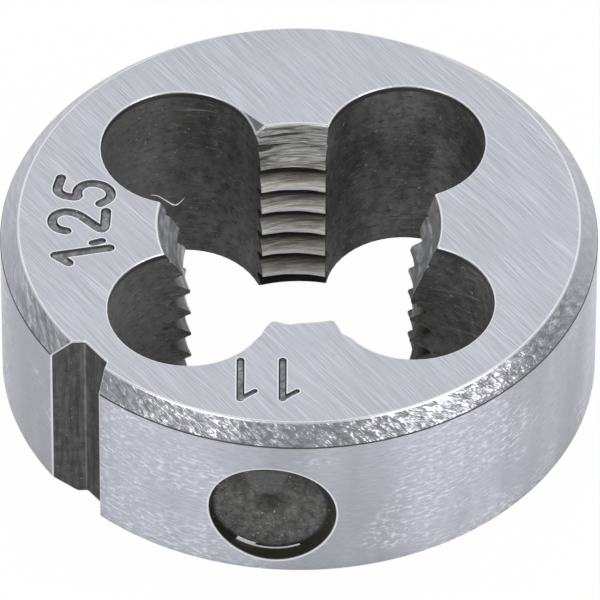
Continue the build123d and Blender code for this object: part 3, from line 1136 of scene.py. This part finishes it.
def make_floor():
    """Plain pale floor under the die, clear from below."""
    low = -FLOOR_GAP * MM
    corners = [(x * FLOOR_HALF, y * FLOOR_HALF, low) for x, y in ((-1, -1), (1, -1), (1, 1), (-1, 1))]
    data = bpy.data.meshes.new("floor")
    data.from_pydata(corners, [], [(0, 1, 2, 3)])
    paint = bpy.data.materials.new("pale_floor")
    paint.use_nodes = True
    tree = paint.node_tree
    pale = tree.nodes["Principled BSDF"]
    feed(pale.inputs["Base Color"], (0.9, 0.9, 0.9))
    feed(pale.inputs["Roughness"], 0.9)
    feed(pale.inputs["Specular IOR Level"], 0.1)
    ray = outputs_of(put(tree, "ShaderNodeLightPath"))
    mirrored = ray["Is Glossy Ray"].most(ray["Is Transmission Ray"])
    share = ray["Is Camera Ray"] * FLOOR_WHITE_SEEN + mirrored * FLOOR_WHITE_MIRRORED
    white = put(tree, "ShaderNodeEmission", Color=(1.0, 1.0, 1.0), Strength=1.0)
    above = put(tree, "ShaderNodeMixShader", share, pale, white)
    from_below = put(tree, "ShaderNodeNewGeometry").outputs["Backfacing"]
    clear = put(tree, "ShaderNodeBsdfTransparent")
    both = put(tree, "ShaderNodeMixShader", from_below, above, clear)
    feed(tree.nodes["Material Output"].inputs["Surface"], both)
    data.materials.append(paint)
    place_object("floor", data)


def make_world():
    """Soft pale surroundings, dimmer on the camera's side."""
    world = bpy.data.worlds.new("studio")
    bpy.context.scene.world = world
    world.use_nodes = True
    tree = world.node_tree
    tree.nodes.clear()
    rise = math.radians(CAMERA_ELEVATION)
    toward = Field(put(tree, "ShaderNodeTexCoord").outputs["Generated"])
    back = toward.along((0.0, math.cos(rise), math.sin(rise))).spread(0.35, 0.75)
    shade = back.blend(WORLD_NEAR, WORLD_FAR)
    put(tree, "ShaderNodeOutputWorld", put(tree, "ShaderNodeBackground", Color=shade, Strength=1.0))


def softbox(name, azimuth, size, power):
    """A square soft light that faces the die."""
    data = bpy.data.lights.new(name, "AREA")
    data.size, data.energy = size * MM, power
    turn, rise = math.radians(azimuth), math.radians(SOFTBOX_ELEVATION)
    way = Vector((math.cos(turn) * math.cos(rise), math.sin(turn) * math.cos(rise), math.sin(rise)))
    made = place_object(name, data)
    made.location = Vector((0, 0, THICKNESS / 2 * MM)) + way * SOFTBOX_DISTANCE * MM
    made.rotation_euler = (-way).to_track_quat("-Z", "Y").to_euler()


def make_camera():
    """Camera at the front, looking down on the marked face."""
    rise = math.radians(CAMERA_ELEVATION)
    back = Vector((0, -math.cos(rise), math.sin(rise)))
    up, right = Vector((0, math.sin(rise), math.cos(rise))), Vector((1, 0, 0))
    centre = Vector((0, 0, THICKNESS / 2))
    place = centre + back * CAMERA_DISTANCE
    back = (place - (centre + right * AIM_RIGHT - up * AIM_DOWN)).normalized()
    right = up.cross(back).normalized()
    up = back.cross(right)
    roll = Matrix.Rotation(math.radians(CAMERA_ROLL), 3, back)
    data = bpy.data.cameras.new("camera")
    data.lens, data.sensor_width = CAMERA_LENS, 36.0
    data.clip_start, data.clip_end = 0.01, 20.0
    made = place_object("camera", data)
    turn = Matrix((roll @ right, roll @ up, back)).transposed().to_4x4()
    made.matrix_world = Matrix.Translation(place * MM) @ turn
    bpy.context.scene.camera = made


# ---------------- the pieces
def make_die(materials):
    """The finished die in place of its plain solid."""
    data = die_mesh()
    for material in materials:
        data.materials.append(material)
    for polygon in data.polygons:
        polygon.use_smooth = polygon.material_index not in (GROUND, PLAIN)
    data.set_sharp_from_angle(angle=math.radians(SHARP_ANGLE))
    made = place_object("die_body_finished", data)
    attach(made, "root")
    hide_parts("die_body")


def curl_tree():
    """Geometry tree that rolls a path into a fine round curl, thin at its ends."""
    tree = bpy.data.node_groups.new("metal_curl", "GeometryNodeTree")
    for name, kind in (("Path", "Geometry"), ("Radius", "Float"), ("Steps", "Int"), ("Sides", "Int"),
                       ("Finish", "Material")):
        tree.interface.new_socket(name, in_out="INPUT", socket_type="NodeSocket" + kind)
    tree.interface.new_socket("Curl", in_out="OUTPUT", socket_type="NodeSocketGeometry")
    given = outputs_of(put(tree, "NodeGroupInput"))
    path = put(tree, "GeometryNodeMeshToCurve", given["Path"])
    bent = put(tree, "GeometryNodeCurveSplineType", path, spline_type="CATMULL_ROM")
    even = put(tree, "GeometryNodeResampleCurve", bent, Count=given["Steps"])
    along = outputs_of(put(tree, "GeometryNodeSplineParameter"))["Factor"]
    swell = (along * (0.8 * math.pi) + 0.1 * math.pi).by("SINE")
    thick = put(tree, "GeometryNodeSetCurveRadius", even, Radius=swell)
    ring = put(tree, "GeometryNodeCurvePrimitiveCircle", Resolution=given["Sides"], Radius=given["Radius"])
    tube = put(tree, "GeometryNodeCurveToMesh", thick, ring, Scale=swell, Fill_Caps=True)
    whole = put(tree, "GeometryNodeRealizeInstances", tube)
    finished = put(tree, "GeometryNodeSetMaterial", whole, Material=given["Finish"])
    put(tree, "NodeGroupOutput", finished)
    return tree


def make_curl(finish):
    """The curl of metal left hanging on the edge of the back-left chip hole."""
    data = bpy.data.meshes.new("curl_path")
    steps = [(step, step + 1) for step in range(len(CURL_PATH) - 1)]
    data.from_pydata([tuple(c * MM for c in point) for point in CURL_PATH], steps, [])
    line = place_object("curl_path", data)
    rolled = line.modifiers.new("curl", "NODES")
    rolled.node_group = curl_tree()
    sizes = {"Radius": CURL_R * MM, "Steps": CURL_STEPS, "Sides": CURL_SIDES, "Finish": finish}
    for socket in rolled.node_group.interface.items_tree:
        if socket.in_out == "INPUT" and socket.name in sizes:
            rolled[socket.identifier] = sizes[socket.name]
    bpy.context.view_layer.update()
    solid = bpy.data.meshes.new_from_object(line.evaluated_get(bpy.context.evaluated_depsgraph_get()))
    bpy.data.objects.remove(line)
    solid.polygons.foreach_set("use_smooth", [True] * len(solid.polygons))
    made = place_object("edge_curl", solid)
    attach(made, "root")


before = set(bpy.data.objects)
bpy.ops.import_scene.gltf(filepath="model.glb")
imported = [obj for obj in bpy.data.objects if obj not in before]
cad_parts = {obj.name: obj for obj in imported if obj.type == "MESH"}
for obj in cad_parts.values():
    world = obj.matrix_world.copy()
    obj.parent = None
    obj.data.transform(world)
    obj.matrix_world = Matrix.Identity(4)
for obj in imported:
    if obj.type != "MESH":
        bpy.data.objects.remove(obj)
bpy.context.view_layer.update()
bpy.context.scene.view_settings.view_transform = "Standard"
make_camera()
make_world()
make_floor()
softbox("left_softbox", 232, 70, 0.043)
softbox("right_softbox", 323, 90, 0.066)
materials = finishes()
make_die(materials)
make_curl(materials[BRIGHT])
bpy.context.view_layer.update()
